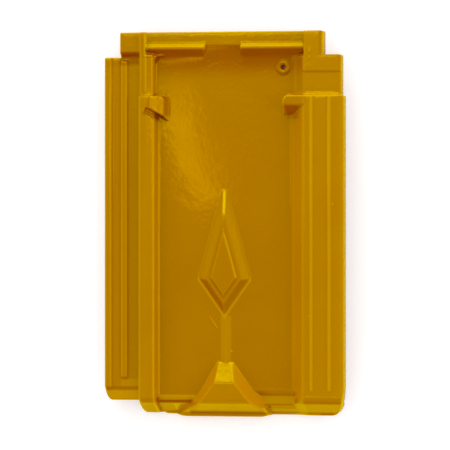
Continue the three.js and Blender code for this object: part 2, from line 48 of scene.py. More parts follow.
# Tile sizes in millimetres: X across, Y up the roof, levels counted from the top of the pan, which
# lies at panTop above the rest plane; thinnest is the clay left between the two sides at the edges
tile = {
    "panTop": 26, "leftEdge": -126, "outerRibInner": -118, "innerRibOuter": -109.3,
    "innerRibInner": -101.8, "rollLeft": -87.8, "rollRight": -70.5, "rollFoot": -69.4, "panLeft": -68,
    "panRight": 71.2, "coverLeft": 85.2, "blockRight": 103.9, "headRight": 123.5, "rightEdge": 126,
    "footEdge": -198, "headEdge": 198, "leftHeadCut": 172.3, "rightHeadCut": 173.5,
    "flankFoot": -181.5, "stepFoot": 131.5, "stepHead": 133.7, "flankTop": 3, "outerGroove": -2,
    "waterGroove": -8, "rollTop": 15, "rollShoulder": 12.5, "rollShoulderRun": 7,
    "headRollTop": 10.5, "headRollShoulder": 8, "headRollRight": -73.2, "headRollFoot": -71.6,
    "coverTop": 14, "headCoverTop": 9.5, "coverShoulderRun": 4, "coverShoulderDrop": 2,
    "wallDraft": 0.8, "topRounding": 2.2, "underRounding": 1.2, "thinnest": 2.6,
}


def roundedLine(corners, steps=6):
    # corners hold place, level and how far the rounding reaches
    places, levels = [], []
    for index, (place, level, reach) in enumerate(corners):
        corner = Vector((place, level))
        if reach == 0 or index in (0, len(corners) - 1):
            places.append(place)
            levels.append(level)
            continue
        ends = []
        for other in (corners[index - 1], corners[index + 1]):
            side = Vector(other[:2]) - corner
            ends.append(corner + side * min(reach / side.length, 0.48))
        for step in range(steps + 1):
            share = step / steps
            point = ends[0] * (1 - share) ** 2 + corner * 2 * share * (1 - share) + ends[1] * share ** 2
            places.append(point.x)
            levels.append(point.y)
    return np.array(places), np.array(levels)


def along(line, place):
    return np.interp(place, line[0], line[1])


def softMin(first, second, reach):
    overlap = np.maximum(reach - np.abs(first - second), 0)
    return np.minimum(first, second) - overlap ** 2 / (4 * reach)


def softMax(first, second, reach):
    return -softMin(-first, -second, reach)


def eased(value):
    share = np.clip(value, 0, 1)
    return share * share * (3 - 2 * share)


def within(place, low, high):
    return (place > low) & (place < high)


def between(place, low, high, soft):
    # 1 from low to high, 0 outside, with ends that fade over the width soft
    return eased((place - low) / soft + 0.5) * eased((high - place) / soft + 0.5)


def ridge(place, centre, half):
    share = np.clip(np.abs(place - centre) / half, 0, 1)
    return 0.5 + 0.5 * np.cos(math.pi * share)


# Cross sections of the glazed side, from the left edge to the right edge
def topSection(roll, shoulder, cover, rollRight, rollFoot):
    draft = tile["wallDraft"]
    return roundedLine([
        (tile["leftEdge"], tile["flankTop"], 0),
        (tile["outerRibInner"] - draft, tile["flankTop"], 1.6),
        (tile["outerRibInner"] + draft, tile["outerGroove"], 1.8),
        (tile["innerRibOuter"] - draft, tile["outerGroove"], 1.8),
        (tile["innerRibOuter"] + draft, tile["flankTop"], 1.6),
        (tile["innerRibInner"], tile["flankTop"], 1.6),
        (tile["innerRibInner"] + 2 * draft, tile["waterGroove"], 2.4),
        (tile["rollLeft"] - draft, tile["waterGroove"], 2.4),
        (tile["rollLeft"], shoulder, 1.8),
        (tile["rollLeft"] + tile["rollShoulderRun"], roll, 1.6),
        (rollRight, roll, 2.4),
        (rollFoot, 0, 2.6),
        (tile["panRight"], 0, 4.5),
        (tile["coverLeft"], cover, 2.6),
        (tile["rightEdge"] - tile["coverShoulderRun"], cover, 3.0),
        (tile["rightEdge"], cover - tile["coverShoulderDrop"], 0),
    ])


mainSection = topSection(
    tile["rollTop"], tile["rollShoulder"], tile["coverTop"], tile["rollRight"], tile["rollFoot"])
headSection = topSection(
    tile["headRollTop"], tile["headRollShoulder"], tile["headCoverTop"],
    tile["headRollRight"], tile["headRollFoot"])
stepLine = roundedLine([
    (tile["stepFoot"] - 20, 0, 0),
    (tile["stepFoot"], 0, 1.1),
    (tile["stepHead"], 1, 1.1),
    (tile["stepHead"] + 20, 1, 0),
])

# Two fine beads along the cover rib
beads = {"places": (93.4, 112.2), "halfWidth": 2.6, "rise": 0.9, "fullness": 0.8, "foot": -172, "fade": 4}


def beadLevel(x, y):
    level = np.zeros_like(x)
    for place in beads["places"]:
        level += beads["rise"] * ridge(x, place, beads["halfWidth"]) ** beads["fullness"]
    footFade = eased((y - beads["foot"]) / beads["fade"])
    headFade = eased((tile["stepFoot"] + 0.5 - y) / 1.5)
    return level * footFade * headFade


# Water flank on the left: groove floor, ribs and the block at its head
flank = {
    "rampHead": -92.5, "flatHead": -159.5, "flatLevel": -3, "flatStep": 7, "flatRun": 3,
    "bevelHead": -170.6, "bevelLevel": 0.4, "dipFoot": 167.5, "dipRun": 2.5, "dip": 3.6,
    "blockFoot": 177.3, "blockRise": 5, "pocketSlope": 1.15,
    "crestMiddle": -80.4, "crestHalf": 1.7, "crestRise": 0.4, "crestRun": 3,
}


def flankLevel(x, y, level):
    # the groove floor rises towards the foot, the ribs end in a flat, then a bevel
    inGroove = within(x, tile["innerRibInner"] - 1, tile["rollLeft"] + 0.4)
    ramp = np.interp(y, [flank["flatHead"], flank["rampHead"]], [flank["flatLevel"], tile["waterGroove"]])
    level = np.where(inGroove, softMax(level, ramp, 1.0), level)
    inRib = within(x, tile["innerRibOuter"] - 0.6, tile["rollLeft"] - 0.2)
    flat = flank["flatLevel"] + flank["flatStep"] * eased((y - flank["flatHead"]) / flank["flatRun"])
    level = np.where(inRib, softMin(level, flat, 0.8), level)
    bevelled = softMin(level, y - flank["bevelHead"] + flank["bevelLevel"], 1.6)
    level = np.where(x < tile["rollLeft"] - 0.05, bevelled, level)
    # the inner rib dips in front of the block at the head, with the dark pocket there
    dip = eased((y - flank["dipFoot"]) / flank["dipRun"]) * (y < flank["blockFoot"] + 2)
    dip = dip * within(x, tile["innerRibOuter"] - 0.6, tile["innerRibInner"] + 1.5)
    level = level - flank["dip"] * dip
    front = flank["blockRise"] + (y - flank["blockFoot"]) * flank["pocketSlope"]
    block = softMin(flank["blockRise"], front, 1.4)
    inBlock = within(x, tile["innerRibOuter"] - 0.6, tile["rollLeft"] + 0.4)
    level = np.where(inBlock, softMax(level, block, 1.2), level)
    # a low crest along the roll beyond the step
    crest = flank["crestRise"] * ridge(x, flank["crestMiddle"], flank["crestHalf"])
    return level + crest * eased((y - tile["stepHead"]) / flank["crestRun"])


# Head flange with its notched weather rib, and the block and ear on the right
flange = {
    "rise": 3, "ribRise": 7, "ribHead": 185.7, "faceRun": 3.1, "crest": 2.6, "ribFoot": 171.5,
    "left": -81.2, "soft": 1.6, "rollEnd": 173, "rollEndRun": 5,
    "notchLeft": -19.4, "notchRight": 17.6, "notchStep": 180.6, "notchLevel": 1.7, "notchHead": 183.9,
    "blockRise": 11, "earFoot": 156.5, "earRun": 1.4, "shortStep": 82.6, "steepRun": 3,
    "corner": 9, "cornerLeft": -71.2, "cornerSlope": 1.6, "cornerRise": 6, "cornerHead": 177,
    "cornerFade": 4,
}
flangeLine = roundedLine([
    (flange["ribFoot"] - 60, 0, 0),
    (flange["ribFoot"], 0, 13.0),
    (flange["ribHead"] - flange["faceRun"] - flange["crest"], flange["ribRise"], 1.4),
    (flange["ribHead"] - flange["faceRun"], flange["ribRise"], 1.4),
    (flange["ribHead"], flange["rise"], 1.3),
    (tile["headEdge"] + 5, flange["rise"], 0),
])
notchLine = roundedLine([
    (flange["ribFoot"] - 60, 0, 0),
    (flange["ribFoot"], 0, 3.0),
    (flange["notchStep"], flange["notchLevel"], 1.4),
    (flange["notchHead"], flange["rise"], 1.2),
    (tile["headEdge"] + 5, flange["rise"], 0),
])


def flangeLevel(x, y, level):
    rib = along(flangeLine, y)
    low = along(notchLine, y)
    rib = rib + (low - rib) * between(x, flange["notchLeft"], flange["notchRight"], flange["soft"])
    # the wide part of the roll ends at the weather rib, its outer edge runs on to the head
    fromLeft = eased((x - flange["left"]) / flange["soft"] + 0.5)
    rollPart = fromLeft * eased((tile["panLeft"] + 3 - x) / 2)
    fade = eased((y - flange["rollEnd"]) / flange["rollEndRun"])
    level = level * (1 - rollPart * fade)
    # beside the block the flange runs on to a short step
    steep = eased((y - flange["ribFoot"]) / flange["steepRun"])
    atBlock = eased((x - tile["panRight"] + 3) / 2) * (x < tile["coverLeft"]) * steep
    level = level * (1 - atBlock)
    level = softMax(level, rib * fromLeft * (x < tile["coverLeft"] + 3), 1.0)
    # the pan's corner below the rib is rounded in plan
    across = np.minimum(x - (flange["cornerLeft"] + flange["corner"]), 0)
    up = np.maximum(y - (flange["ribFoot"] - flange["corner"]), 0)
    inCorner = (across < 0) & (up > 0) & (x > flange["cornerLeft"] - 1.5)
    fill = (np.hypot(across, up) - flange["corner"]) * flange["cornerSlope"]
    fill = np.clip(fill, 0, flange["cornerRise"])
    fill = fill * eased((flange["cornerHead"] - y) / flange["cornerFade"])
    level = np.where(inCorner, softMax(level, fill, 0.8), level)
    # the block and the ear beside it, with the slope of the cover rib carried up to them
    start = tile["panRight"] + (flange["shortStep"] - tile["panRight"]) * steep
    slope = (x - start) * flange["blockRise"] / (tile["coverLeft"] - start)
    block = softMin(softMin(slope, flange["blockRise"], 1.6), flange["blockRise"], 1.0)
    inEar = eased((y - flange["earFoot"]) / flange["earRun"] + 0.5)
    inEar = inEar * (x > tile["panRight"] - 2) * eased((x - tile["coverLeft"]) / 2 + 1)
    return level + (np.maximum(level, block) - level) * inEar


# Two stops below the step, and the slanting pocket below the left one
stops = {
    "headRun": 1.4, "corner": 7, "steep": 12, "foot": 100, "head": 140,
    "leftRise": 17, "leftInner": -60.2, "leftSide": -59, "leftFoot": 111.9, "slant": 27.1, "fall": 4.4,
    "leftOuterSlope": 3, "leftReach": -55,
    "rightRise": 14.2, "rightLeft": 63.2, "rightSide": 62.2, "rightFoot": 122.6, "rightFall": 10.5,
    "rightReach": 55,
    "pocketDepth": 1.8, "pocketWidth": 8.5, "pocketFade": 5.5, "pocketLevel": 4,
    "stripWidth": 10.5, "stripFade": 4, "stripLong": 22.5,
}


def cornerDistance(x, y, right, head, radius):
    # distance inside a corner that is rounded in plan, for a side at right and one at head
    across = np.maximum(x - (right - radius), 0)
    up = np.maximum(y - (head - radius), 0)
    inside = np.minimum(right - x, head - y)
    return np.where((across > 0) & (up > 0), radius - np.hypot(across, up), inside)


def leftStopPlace(x, y):
    # distances past the slanting foot side of the left stop and along it, from its inner tip
    turn = math.radians(stops["slant"])
    across, up = x - stops["leftInner"], y - stops["leftFoot"]
    past = -across * math.sin(turn) - up * math.cos(turn)
    return past, up * math.sin(turn) - across * math.cos(turn)


def leftStopFoot(x, y):
    # the slanting strip below the left stop, where the roll dips and where painted shade darkens the glaze
    # colour
    past, sideways = leftStopPlace(x, y)
    strip = eased((past - 0.4) / 1.8) * eased((stops["stripWidth"] - past) / stops["stripFade"])
    return strip * eased((stops["stripLong"] - sideways) / 3) * eased((sideways + 0.5) / 2)


def stopLevel(x, y, level):
    head = tile["stepFoot"] + stops["headRun"]
    atStops = within(y, stops["foot"], stops["head"])
    # left: a plateau whose foot side falls away slantwise, into the roll as well
    sides = cornerDistance(x, y, stops["leftSide"], head, stops["corner"]) * stops["steep"]
    past = leftStopPlace(x, y)[0]
    fall = stops["leftRise"] - past * stops["leftRise"] / stops["fall"]
    left = softMin(softMin(sides, stops["leftRise"], 2.4), fall, 2.0)
    outer = tile["rollLeft"] + tile["rollShoulderRun"]
    left = softMin(left, (x - outer) * stops["leftOuterSlope"], 1.5)
    near = atStops & within(x, outer - 1, stops["leftReach"])
    level = np.where(near, softMax(level, left, 1.2), level)
    dip = eased((past - 0.2) / 2) * eased((stops["pocketWidth"] - past) / stops["pocketFade"])
    dip = dip * leftStopFoot(x, y) * eased((level - stops["pocketLevel"]) / 6) * near
    level = level - stops["pocketDepth"] * dip
    # right: a plateau level with the cover rib, with a long foot slope
    sides = cornerDistance(-x, y, -stops["rightSide"], head, stops["corner"]) * stops["steep"]
    footSlope = stops["rightRise"] * (1 - (stops["rightFoot"] - y) / stops["rightFall"])
    right = softMin(softMin(sides, stops["rightRise"], 2.2), footSlope, 2.0)
    near = atStops & within(x, stops["rightReach"], tile["coverLeft"] + 0.5)
    return np.where(near, softMax(level, right, 1.2), level)


# The foot falls away in noses, with a ledge on the right of the pan and fine beads across
foot = {
    "shoulderHead": -178, "noseHead": -184, "shoulderDrop": 3, "noseEnd": -193.5, "noseDrop": 21.5,
    "ledgeHead": -171, "ledgeFoot": -175, "ledgeDrop": 3.4, "ledgeNose": 4.6, "ledgeRun": 1.5,
    "beadMiddle": -178.2, "beadHalf": 3, "beadRise": 0.2,
    "grooveMiddle": -182, "grooveHalf": 2, "grooveDepth": 0.8,
    "ridgeMiddle": -169.6, "ridgeHalf": 1.8, "ridgeRise": 0.25,
    "coverBeadMiddle": -176.4, "coverBeadHalf": 1.4, "coverBeadRise": 0.35,
    "rollShift": 3.6, "panShift": 2, "shiftLeft": 60, "edgeLeft": 45, "edgeRight": 36.2,
}
noseLine = roundedLine([
    (tile["footEdge"] - 10, foot["noseDrop"], 0),
    (foot["noseEnd"], foot["noseDrop"], 2.0),
    (foot["noseHead"], foot["shoulderDrop"], 1.6),
    (foot["shoulderHead"], 0, 1.2),
    (0, 0, 0),
])
ledgeLine = roundedLine([
    (tile["footEdge"] - 10, foot["noseDrop"], 0),
    (foot["noseEnd"], foot["noseDrop"], 2.0),
    (foot["noseHead"] - foot["ledgeRun"], foot["ledgeNose"], 1.6),
    (foot["ledgeFoot"], foot["ledgeDrop"], 1.2),
    (foot["ledgeHead"], 0, 1.2),
    (0, 0, 0),
])


def footLevel(x, y, level):
    onPan = eased((x - tile["panLeft"] + 3) / 2) * eased((tile["panRight"] + 5 - x) / 4)
    rightPan = onPan * (x > ornament["middle"])
    leftPan = onPan * (x <= ornament["middle"])
    onCover = eased((x - tile["coverLeft"] + 2) / 3)
    drop = along(noseLine, y) * (1 - rightPan) + along(ledgeLine, y) * rightPan
    drop = np.where(x > tile["rollLeft"] - 0.05, drop, 0)
    bead = foot["beadRise"] * ridge(y, foot["beadMiddle"], foot["beadHalf"]) * leftPan
    bead -= foot["grooveDepth"] * ridge(y, foot["grooveMiddle"], foot["grooveHalf"]) * leftPan
    bead += foot["ridgeRise"] * ridge(y, foot["ridgeMiddle"], foot["ridgeHalf"]) * rightPan
    bead += foot["coverBeadRise"] * ridge(y, foot["coverBeadMiddle"], foot["coverBeadHalf"]) * onCover
    return level - drop + bead


# Raised lozenge: a tier of facets, a shelf and a small table
lozenge = {
    "middle": 0.5, "waist": -55.2, "headTip": 44.6, "bluntTip": 36.3, "footTip": -94.2, "halfWidth": 27.7,
    "rise": 6, "tableRise": 8, "headBevel": 10, "footBevel": 7.6, "headShelf": 12.6,
    "footShelf": 11, "tableSlope": 1.1, "tipSlope": 0.6,
    "stripDrop": 1.15, "stripEnd": 10.1, "stripFade": 1.8, "stripRise": 2,
}


def lozengeInside(x, y):
    # distances inside the edges towards the head and towards the foot
    across = np.abs(x - lozenge["middle"])
    headLong = lozenge["headTip"] - lozenge["waist"]
    footLong = lozenge["waist"] - lozenge["footTip"]
    half = lozenge["halfWidth"]
    headIn = ((lozenge["headTip"] - y) * half - across * headLong) / math.hypot(half, headLong)
    footIn = ((y - lozenge["footTip"]) * half - across * footLong) / math.hypot(half, footLong)
    return headIn, footIn


def lozengeLevel(x, y):
    # the distances set the two tiers of facets
    headIn, footIn = lozengeInside(x, y)
    facets = softMin(
        headIn * lozenge["rise"] / lozenge["headBevel"],
        footIn * lozenge["rise"] / lozenge["footBevel"],
        0.8,
    )
    # a narrow facet blunts the ridge that points to the head
    narrow = lozenge["halfWidth"] / math.hypot(lozenge["halfWidth"], lozenge["headTip"] - lozenge["waist"])
    strip = (lozenge["headTip"] - y) * narrow * lozenge["rise"] / lozenge["headBevel"] - lozenge["stripDrop"]
    strip = strip + lozenge["stripRise"] * eased((lozenge["stripEnd"] - y) / lozenge["stripFade"])
    tip = (lozenge["bluntTip"] - y) * lozenge["tipSlope"]
    facets = softMin(facets, np.minimum(strip, tip), 0.25)
    level = softMin(facets, lozenge["rise"], 0.9)
    table = softMin(headIn - lozenge["headShelf"], footIn - lozenge["footShelf"], 0.8)
    table = softMin(lozenge["rise"] + table * lozenge["tableSlope"], lozenge["tableRise"], 0.9)
    return softMax(level, table, 0.7)


# Stem from the lozenge to the foot ornament
stem = {
    "middle": 2, "halfWidth": 5.6, "halfTop": 2.4, "rise": 0.7, "slope": 0.014, "head": -90.6,
    "foot": -144, "headSlope": 0.42, "footSlope": 1.6,
}


def stemLevel(x, y):
    across = np.abs(x - stem["middle"])
    # it rises a little towards the foot ornament
    top = stem["rise"] + (stem["head"] - y) * stem["slope"]
    side = (stem["halfWidth"] - across) * top / (stem["halfWidth"] - stem["halfTop"])
    body = softMin(side, top, 1.2)
    ends = np.minimum((stem["head"] - y) * stem["headSlope"], (y - stem["foot"]) * stem["footSlope"])
    return softMin(body, ends, 0.8)


# Foot ornament: a face, a ramp towards the head and two wings that run down to the foot edge
ornament = {
    "middle": 3.3, "rise": 13, "headLine": -141.5, "headHalf": 9.6, "footHalf": 42.5, "footLine": -192,
    "faceHead": -162.8, "faceFoot": -183, "rampHalf": 6.7, "faceHeadHalf": 10.4, "faceFootHalf": 26.4,
    "noseHead": -183.6, "noseFoot": -193.8, "noseDrop": 20.5, "headShift": -2.1, "faceShift": -0.9,
    "rampStart": 1.4, "edgeFaceHalf": 38.3, "edgeHalf": 46.4, "rightHalf": 39, "rightSlope": 6,
}


def wingShare(x, y):
    # 0 on the outline of the ornament, 1 where its wings meet the face; it stands a little askew
    lines = [-ornament["headLine"], -ornament["faceHead"], -ornament["faceFoot"], -tile["footEdge"]]
    askew = np.interp(-y, lines, [ornament["headShift"], ornament["faceShift"], 0, 0])
    across = np.abs(x - ornament["middle"] - askew)
    faceHalf = np.interp(-y, lines, [
        ornament["rampHalf"], ornament["faceHeadHalf"], ornament["faceFootHalf"],
        ornament["edgeFaceHalf"]])
    outerHalf = np.interp(
        -y,
        [-ornament["headLine"], -ornament["footLine"], -tile["footEdge"]],
        [ornament["headHalf"], ornament["footHalf"], ornament["edgeHalf"]],
    )
    return (outerHalf - across) / (outerHalf - faceHalf)


def ornamentLevel(x, y):
    # all its faces are planes; on the right a steep side cuts the wing short
    rise = ornament["rise"]
    below = ornament["headLine"] - y
    slope = (rise - ornament["rampStart"]) / (ornament["headLine"] - ornament["faceHead"])
    ramp = ornament["rampStart"] + np.minimum(below * slope, below * 4)
    local = softMin(ramp, rise, 0.8)
    body = softMin(local, np.maximum(local, 0.5) * wingShare(x, y), 0.7)
    side = (ornament["middle"] + ornament["rightHalf"] - x) * ornament["rightSlope"]
    body = softMin(body, side, 0.7)
    nose = np.interp(y, [ornament["noseFoot"], ornament["noseHead"]], [rise - ornament["noseDrop"], rise])
    return np.where(y > ornament["faceFoot"] + 3, body, softMin(body, nose, 1.2))


# Crown with the nail hole; the mesh is round within the patch
nail = {
    "x": 62, "y": 161, "radius": 8, "topRadius": 5.9, "rise": 3, "hole": 1.9, "patch": 10,
    "dish": 1.1, "dishRadius": 4.7, "dishRun": 2.8,
}


def nailLevel(x, y):
    away = np.hypot(x - nail["x"], y - nail["y"])
    side = (nail["radius"] - away) * nail["rise"] / (nail["radius"] - nail["topRadius"])
    dish = nail["dish"] * eased((nail["dishRadius"] - away) / nail["dishRun"])
    return softMin(side, nail["rise"], 1.4) - dish


# Drips, pimples and other small marks: x, y, half length, half width, heading, rise
marks = [
    (-12.6, -98, 4.2, 0.9, -52, 0.45),
    (-8.6, -104, 3.4, 0.9, -56, 0.5),
    (-11, -102.4, 3, 0.7, -50, 0.3),
    (8, -130.6, 1, 1, 0, 0.7),
    (85.4, 178.4, 0.9, 0.9, 0, 0.5),
    (91.3, 177, 1.1, 1.1, 0, 0.6),
    (91.3, 170.2, 0.8, 0.8, 0, 0.5),
    (84.2, 158, 0.8, 0.8, 0, 0.5),
    (115.9, 19.8, 1, 1, 0, 0.7),
    (90.8, -93.2, 0.9, 0.9, 0, 0.6),
]


def markLevel(x, y):
    level = np.zeros_like(x)
    for middleX, middleY, halfLong, halfWide, heading, rise in marks:
        turn = math.radians(heading)
        long = (x - middleX) * math.cos(turn) + (y - middleY) * math.sin(turn)
        wide = (y - middleY) * math.cos(turn) - (x - middleX) * math.sin(turn)
        level += rise * np.exp(-(long / halfLong) ** 4 - (wide / halfWide) ** 2)
    return level


def topLevel(x, y):
    step = along(stepLine, y)
    level = along(mainSection, x) * (1 - step) + along(headSection, x) * step
    level = level + beadLevel(x, y)
    level = flankLevel(x, y, level)
    level = flangeLevel(x, y, level)
    level = stopLevel(x, y, level)
    level = softMax(level, lozengeLevel(x, y), 0.6)
    level = np.where(y < 0, softMax(level, stemLevel(x, y), 0.8), level)
    level = softMax(level, nailLevel(x, y), 0.8)
    level = footLevel(x, y, level)
    level = np.where(y < -135, softMax(level, ornamentLevel(x, y), 0.8), level)
    return level + markLevel(x, y)


# The bare underside: hollows for the next tile's ribs, nibs, foot lip and foot walls
under = {
    "pan": -12, "flank": -17, "hollowLeft": -82.8, "hollowRight": -74.8, "hollowDraft": 2,
    "hollowTop": -2, "slopeFoot": 76.2, "slopeHead": 90.8, "cover": 5, "tongueLeft": 98.8,
    "tongueRight": 105.5, "tongue": 0, "skirtLeft": 115, "skirt": -6, "rest": -26,
    "footWall": -15, "lipHead": -183, "wallRun": 1.4, "blockLeft": 78.2, "blockHead": 173,
}
underSection = roundedLine([
    (tile["leftEdge"], under["flank"], 0),
    (under["hollowLeft"], under["flank"], 1.4),
    (under["hollowLeft"] + under["hollowDraft"], under["hollowTop"], 1.6),
    (under["hollowRight"] - under["hollowDraft"], under["hollowTop"], 1.6),
    (under["hollowRight"], under["pan"], 1.4),
    (under["slopeFoot"], under["pan"], 4.0),
    (under["slopeHead"], under["cover"], 2.0),
    (under["tongueLeft"] - 0.8, under["cover"], 1.4),
    (under["tongueLeft"] + 0.8, under["tongue"], 1.2),
    (under["tongueRight"] - 0.8, under["tongue"], 1.2),
    (under["tongueRight"] + 0.8, under["cover"], 1.4),
    (under["skirtLeft"], under["cover"], 1.4),
    (under["skirtLeft"] + 0.8, under["skirt"], 1.4),
    (tile["rightEdge"], under["skirt"], 0),
])
nibs = {
    "spacing": 90, "middle": 1.6, "halfWidth": 18, "halfTip": 15, "foot": 166, "head": 182,
    "headTip": 178, "frontFoot": 165.8, "frontSlope": 18,
}


def underLevel(x, y):
    level = along(underSection, x)
    overPan = within(x, tile["rollRight"], tile["coverLeft"])
    wall = np.where(overPan, under["rest"], under["footWall"])
    atFoot = np.clip((under["lipHead"] - y) / under["wallRun"] + 0.5, 0, 1)
    atFoot = np.where(x > tile["rollLeft"] - 0.05, atFoot, 0)
    level = level + (np.minimum(level, wall) - level) * atFoot
    inBlock = within(x, under["blockLeft"], tile["blockRight"] + 0.01)
    atHead = np.clip((y - under["blockHead"]) / under["wallRun"] + 0.5, 0, 1)
    level = np.where(inBlock, level + (np.minimum(level, under["pan"]) - level) * atHead, level)
    deep = under["pan"] - under["rest"]
    for side in (-1, 1):
        across = np.abs(x - nibs["middle"] - side * nibs["spacing"] / 2)
        flanks = (nibs["halfWidth"] - across) * deep / (nibs["halfWidth"] - nibs["halfTip"])
        front = (y - nibs["frontFoot"]) * nibs["frontSlope"]
        back = (nibs["head"] - y) * deep / (nibs["head"] - nibs["headTip"])
        body = softMin(softMin(flanks, front, 1.2), softMin(back, deep, 1.2), 1.2)
        near = (across < nibs["halfWidth"] + 6) & within(y, nibs["foot"] - 11, nibs["head"] + 8)
        level = np.where(near, np.minimum(level, under["pan"] - np.maximum(body, 0)), level)
    return level


# Mesh lines: close together in each fine stretch, further apart away from it
def meshLines(fixed, fine, coarse, growth):
    # fine maps a spacing to its places; a pair of places is a stretch
    tick = 0.02
    ticks = np.arange(fixed[0], fixed[-1] + tick, tick)
    spacing = np.full(ticks.shape, coarse)
    for finest, places in fine.items():
        for place in places:
            low, high = place if isinstance(place, tuple) else (place, place)
            away = np.maximum(np.maximum(low - ticks, ticks - high), 0)
            spacing = np.minimum(spacing, finest + growth * away)
    count = np.concatenate([[0], np.cumsum(tick / spacing[:-1])])
    lines = []
    for before, after in zip(fixed, fixed[1:]):
        first, last = np.interp([before, after], ticks, count)
        number = max(1, round(float(last - first)))
        inner = np.interp(np.linspace(first, last, number + 1)[1:-1], count, ticks)
        lines.append(before)
        lines.extend(float(value) for value in inner)
    lines.append(fixed[-1])
    return np.array(lines)


holeX = (nail["x"] - nail["hole"], nail["x"] + nail["hole"])
holeY = (nail["y"] - nail["hole"], nail["y"] + nail["hole"])
nibSides = [
    nibs["middle"] + side * nibs["spacing"] / 2 + end * (nibs["halfWidth"] + nibs["halfTip"]) / 2
    for side in (-1, 1) for end in (-1, 1)
]
fixedX = [tile["leftEdge"], tile["innerRibOuter"], tile["rollLeft"], *holeX, tile["blockRight"],
          tile["headRight"], tile["rightEdge"]]
fixedY = [tile["footEdge"], tile["flankFoot"], tile["stepFoot"], *holeY, tile["leftHeadCut"],
          tile["rightHeadCut"], tile["headEdge"]]
# plain numbers lie over the lozenge, the ornament, the nail crown, the left stop and small marks
topFineX = {
    0.35: [tile["rightEdge"]],
    0.4: [tile["leftEdge"], tile["innerRibOuter"], tile["rollLeft"] - 0.4, tile["blockRight"],
          tile["headRight"]],
    0.45: [tile["outerRibInner"]],
    0.5: [tile["innerRibInner"], *beads["places"], flange["shortStep"], 90.8, 115.9],
    0.55: [stops["leftInner"]],
    0.6: [tile["rollLeft"] + tile["rollShoulderRun"], tile["rollRight"], tile["coverLeft"],
          stops["rightLeft"], (-80, -60), (62, 66)],
    0.75: [holeX, (-17, -5)],
    0.8: [tile["panLeft"], tile["rightEdge"] - tile["coverShoulderRun"]],
    0.9: [tile["panRight"]],
    0.95: [(-27, 28)],
    1: [(54, 70), (36, 47)],
    1.1: [(-60, -36)],
    1.5: [(-40, 47)],
}
topFineY = {
    0.4: [tile["flankFoot"], tile["leftHeadCut"], tile["rightHeadCut"], tile["headEdge"]],
    0.45: [tile["stepFoot"]],
    0.5: [tile["footEdge"], flange["ribHead"], 19.8, 180.1, 182.5],
    0.6: [foot["noseHead"], foot["beadMiddle"], foot["ridgeMiddle"], flank["bevelHead"],
          flank["blockFoot"], tile["stepHead"], flange["earFoot"]],
    0.65: [(104, 124)],
    0.7: [ornament["faceHead"], foot["ledgeFoot"], stops["rightFoot"], -130.6],
    0.75: [holeY],
    0.9: [(-110, -94), (162, 178)],
    0.95: [(-94.5, -53)],
    1: [(-195, -176)],
    1.2: [(153, 169)],
    1.3: [(-176, -141)],
    1.5: [(-53, 38)],
    3: [(-141, -94)],
}
underFineX = {
    0.4: [tile["rightEdge"]],
    0.5: [tile["leftEdge"], under["skirtLeft"]],
    0.6: [under["hollowLeft"] + 1, under["hollowRight"] - 1, under["tongueLeft"], under["tongueRight"],
          under["blockLeft"], tile["innerRibOuter"], tile["rollLeft"], tile["rollRight"],
          tile["coverLeft"], tile["blockRight"], tile["headRight"]],
    0.8: nibSides,
    1.2: [holeX],
    1.5: [under["slopeFoot"]],
}
underFineY = {
    0.4: [nibs["foot"]],
    0.5: [tile["footEdge"], tile["flankFoot"], tile["headEdge"], under["lipHead"], under["blockHead"]],
    0.6: [tile["leftHeadCut"]],
    0.8: [nibs["headTip"], nibs["head"]],
    1: [tile["stepFoot"]],
    1.2: [holeY],
}

# Corners rounded in plan: middle x, middle y, radius x, radius y, side x, side y
planCorners = [
    (-118, -166.5, 8, 15, -1, -1),
    (-82.8, -187, 5, 11, -1, -1),
    (111, -167, 15, 31, 1, -1),
    (-124.3, 170.6, 1.7, 1.7, -1, 1),
    (-107.6, 196.3, 1.7, 1.7, -1, 1),
    (102.2, 196.3, 1.7, 1.7, 1, 1),
    (121, 171, 2.5, 2.5, 1, 1),
    (124.6, 130.1, 1.4, 1.4, 1, 1),
]
# how far the foot edge stands back beside the ornament
footLine = roundedLine([
    (tile["rollLeft"] - 2.2, foot["rollShift"], 0),
    (tile["panLeft"], foot["rollShift"], 2.0),
    (tile["panLeft"] + 3, foot["panShift"], 2.0),
    (ornament["middle"] - foot["shiftLeft"], foot["panShift"], 3.0),
    (ornament["middle"] - foot["edgeLeft"], 0, 3.0),
    (ornament["middle"] + foot["edgeRight"], 0, 3.0),
    (ornament["middle"] + ornament["footHalf"], foot["panShift"], 3.0),
    (tile["rightEdge"] + 4, foot["panShift"], 0),
])


def shapedPlan(x, y):
    # rounds the corners of the square grid, turns the hole's square into a circle, shapes the foot
    x, y = x.copy(), y.copy()
    for middleX, middleY, radiusX, radiusY, sideX, sideY in planCorners:
        across = (x - middleX) * sideX / radiusX
        up = (y - middleY) * sideY / radiusY
        inside = within(across, 0, 1.001) & within(up, 0, 1.001)
        share = np.maximum(across, up) / np.maximum(np.hypot(across, up), 1e-9)
        x = np.where(inside, middleX + sideX * radiusX * across * share, x)
        y = np.where(inside, middleY + sideY * radiusY * up * share, y)
    across, up = x - nail["x"], y - nail["y"]
    most = np.maximum(np.abs(across), np.abs(up))
    share = most / np.maximum(np.hypot(across, up), 1e-9)
    amount = np.clip((nail["patch"] - most) / (nail["patch"] - nail["hole"]), 0, 1)
    factor = 1 + amount * (share - 1)
    x = nail["x"] + across * factor
    y = nail["y"] + up * factor
    shift = along(footLine, x) * np.clip((foot["noseHead"] - y) / (foot["noseHead"] - tile["footEdge"]), 0, 1)
    return x, np.where(x > tile["rollLeft"] - 0.01, y + shift, y)


